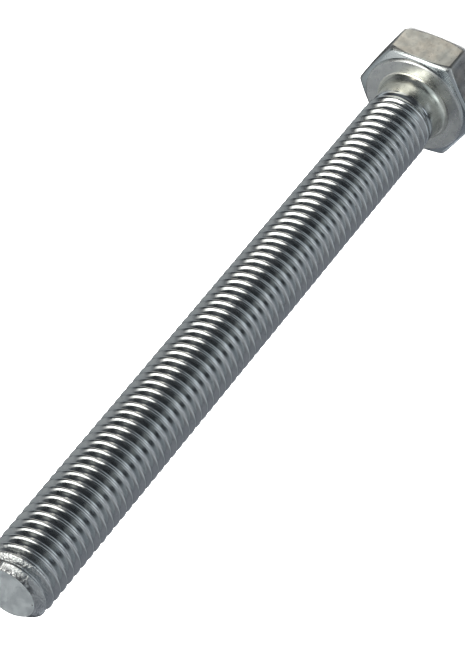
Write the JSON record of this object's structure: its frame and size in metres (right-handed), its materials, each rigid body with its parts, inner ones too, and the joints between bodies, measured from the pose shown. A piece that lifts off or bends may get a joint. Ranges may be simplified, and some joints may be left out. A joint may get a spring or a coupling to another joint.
{
  "type": "hex bolt",
  "caption": "Hex head bolt with an integral washer face, a short plain neck, a fully threaded shank with a right-hand metric coarse thread and a chamfered end.",
  "frame": {"origin": "centre of the bearing face under the head, on the bolt's axis", "axes": "+Z along the shank from the bearing face to the tip, +X through a corner of the hexagon, +Y square to one of its flats"},
  "size_m": [0.0218, 0.0188, 0.1275],
  "materials": {
    "plated_steel_head": "satin zinc plate",
    "plated_steel_bearing": "satin zinc plate",
    "plated_steel_neck": "bright zinc plate",
    "plated_steel_thread": "bright zinc plate on rolled thread",
    "plated_steel_end": "matte sheared and plated end"
  },
  "bodies": {
    "root": {"hex_head": "plated_steel_head", "washer_face": "plated_steel_bearing", "neck": "plated_steel_neck", "threaded_shank": "plated_steel_thread", "point": "plated_steel_end"}
  },
  "joints": []
}
